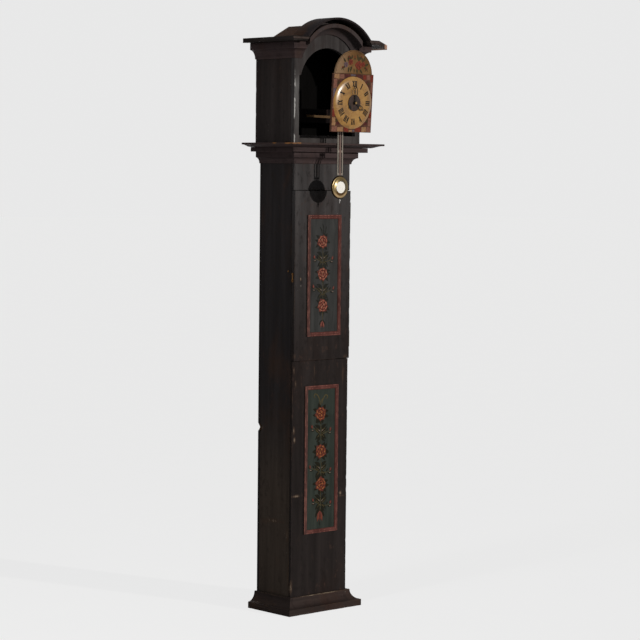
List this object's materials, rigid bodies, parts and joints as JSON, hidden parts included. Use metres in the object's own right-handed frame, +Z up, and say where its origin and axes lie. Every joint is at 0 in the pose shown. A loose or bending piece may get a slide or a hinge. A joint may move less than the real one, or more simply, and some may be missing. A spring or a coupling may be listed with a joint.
{
  "type": "longcase clock",
  "caption": "Tall narrow painted longcase clock with an arched open hood, a leaning painted dial on a plank, a working going train and a pendulum hung in front of the case.",
  "frame": {"origin": "on the floor, under the middle of the plinth", "axes": "+Z up, -Y towards the viewer of the dial, +X to that viewer's right"},
  "size_m": [0.4714, 0.3704, 2.2026],
  "materials": {
    "bare_wood": "unpainted, aged brown softwood",
    "brass": "tarnished brass",
    "chapter_paint": "ochre lacquer, glossy",
    "dark_iron": "blackened sheet iron",
    "dial_paint": "painted and varnished wood",
    "ebony_paint": "worn black-brown paint on softwood, satin",
    "enamel": "white enamel",
    "plate_wood": "plain beech",
    "raw_pine": "bare pine, freshly cut",
    "red_paint": "dull red paint",
    "steel": "drawn steel"
  },
  "bodies": {
    "case": {"arch_moulding": "ebony_paint", "base_board": "bare_wood", "chapter_circle": "chapter_paint", "cornice_front": "ebony_paint", "cornice_left": "ebony_paint", "cornice_right": "ebony_paint", "dial_board": "dial_paint", "eaves_left": "ebony_paint", "eaves_right": "ebony_paint", "frieze_board": "ebony_paint", "hinge_lower_case_leaf": "brass", "hinge_lower_pin": "brass", "hinge_upper_case_leaf": "brass", "hinge_upper_pin": "brass", "hood_back": "bare_wood", "hood_cornice_left": "ebony_paint", "hood_cornice_right": "ebony_paint", "hood_front": "ebony_paint", "hood_side_left": "ebony_paint", "hood_side_right": "ebony_paint", "latch_stud": "brass", "lower_front_board": "ebony_paint", "lower_panel_moulding": "red_paint", "movement_back_plate": "plate_wood", "movement_front_plate": "plate_wood", "plinth_front": "ebony_paint", "plinth_left": "ebony_paint", "plinth_right": "ebony_paint", "roof_front": "ebony_paint", "roof_vault": "bare_wood", "seat_plank": "raw_pine", "seat_rail": "ebony_paint", "shelf_back": "bare_wood", "shelf_front": "ebony_paint", "shelf_left": "ebony_paint", "shelf_right": "ebony_paint", "suspension_cock": "brass", "trunk_back": "bare_wood", "trunk_side_left": "ebony_paint", "trunk_side_right": "ebony_paint"},
    "door": {"trunk_door": "ebony_paint", "door_panel_moulding": "red_paint", "hinge_upper_door_leaf": "brass", "hinge_lower_door_leaf": "brass", "latch_screw": "brass"},
    "latch_hook": {"latch_hook": "brass"},
    "minute_hand": {"minute_hand": "dark_iron", "hand_nut": "brass"},
    "hour_hand": {"hour_hand": "dark_iron"},
    "alarm_disc": {"alarm_disc": "dark_iron"},
    "great_wheel": {"great_wheel": "brass"},
    "centre_wheel": {"centre_wheel": "brass"},
    "third_wheel": {"third_wheel": "brass"},
    "escape_wheel": {"escape_wheel": "brass"},
    "anchor": {"anchor": "steel"},
    "pendulum": {"pendulum_rod": "brass", "pendulum_bob": "brass", "bob_enamel": "enamel"},
    "rating_nut": {"rating_nut": "brass"}
  },
  "joints": [
    {"name": "trunk_door_swing", "type": "hinge", "parent": "case", "child": "door", "pos_m": [0.1433, -0.0629, 0.939], "axis": [0, 0, 1], "range_deg": [0, 18]},
    {"name": "latch_hook_turn", "type": "hinge", "parent": "door", "child": "latch_hook", "pos_m": [-0.14, -0.07155, 1.262], "axis": [1, 0, 0], "range_deg": [-247.5, 0]},
    {"name": "minute_hand_turn", "type": "hinge", "parent": "case", "child": "minute_hand", "pos_m": [0, -0.23205, 1.89], "axis": [0, 0.9983, 0.0576], "continuous": true},
    {"name": "hour_hand_turn", "type": "hinge", "parent": "case", "child": "hour_hand", "pos_m": [0, -0.23205, 1.89], "axis": [0, 0.9983, 0.0576], "continuous": true},
    {"name": "alarm_disc_turn", "type": "hinge", "parent": "case", "child": "alarm_disc", "pos_m": [0, -0.23205, 1.89], "axis": [0, 0.9983, 0.0576], "continuous": true},
    {"name": "third_wheel_turn", "type": "hinge", "parent": "case", "child": "third_wheel", "pos_m": [0.00721, -0.2037, 1.91956], "axis": [0, 0.9983, 0.0576], "continuous": true},
    {"name": "great_wheel_turn", "type": "hinge", "parent": "case", "child": "great_wheel", "pos_m": [0, -0.20009, 1.85678], "axis": [0, 0.9983, 0.0576], "continuous": true},
    {"name": "centre_wheel_turn", "type": "hinge", "parent": "case", "child": "centre_wheel", "pos_m": [0, -0.2021, 1.89173], "axis": [0, 0.9983, 0.0576], "continuous": true},
    {"name": "escape_wheel_turn", "type": "hinge", "parent": "case", "child": "escape_wheel", "pos_m": [0, -0.20522, 1.94585], "axis": [0, 0.9983, 0.0576], "continuous": true},
    {"name": "pendulum_swing", "type": "hinge", "parent": "case", "child": "pendulum", "pos_m": [0, -0.16875, 1.96999], "axis": [0, 1, 0], "range_deg": [-4, 4]},
    {"name": "anchor_rock", "type": "hinge", "parent": "case", "child": "anchor", "pos_m": [0, -0.20649, 1.96781], "axis": [0, 0.9983, 0.0576], "range_deg": [-4, 4]},
    {"name": "rating_nut_turn", "type": "hinge", "parent": "pendulum", "child": "rating_nut", "pos_m": [0, -0.16875, 1.58199], "axis": [0, 0, 1], "continuous": true}
  ],
  "couplings": [
    {"joint": "hour_hand_turn", "follows": "minute_hand_turn", "ratio": 0.083333},
    {"joint": "escape_wheel_turn", "follows": "third_wheel_turn", "ratio": -12},
    {"joint": "centre_wheel_turn", "follows": "third_wheel_turn", "ratio": -0.125},
    {"joint": "great_wheel_turn", "follows": "third_wheel_turn", "ratio": 0.020833},
    {"joint": "anchor_rock", "follows": "pendulum_swing", "ratio": 1}
  ]
}
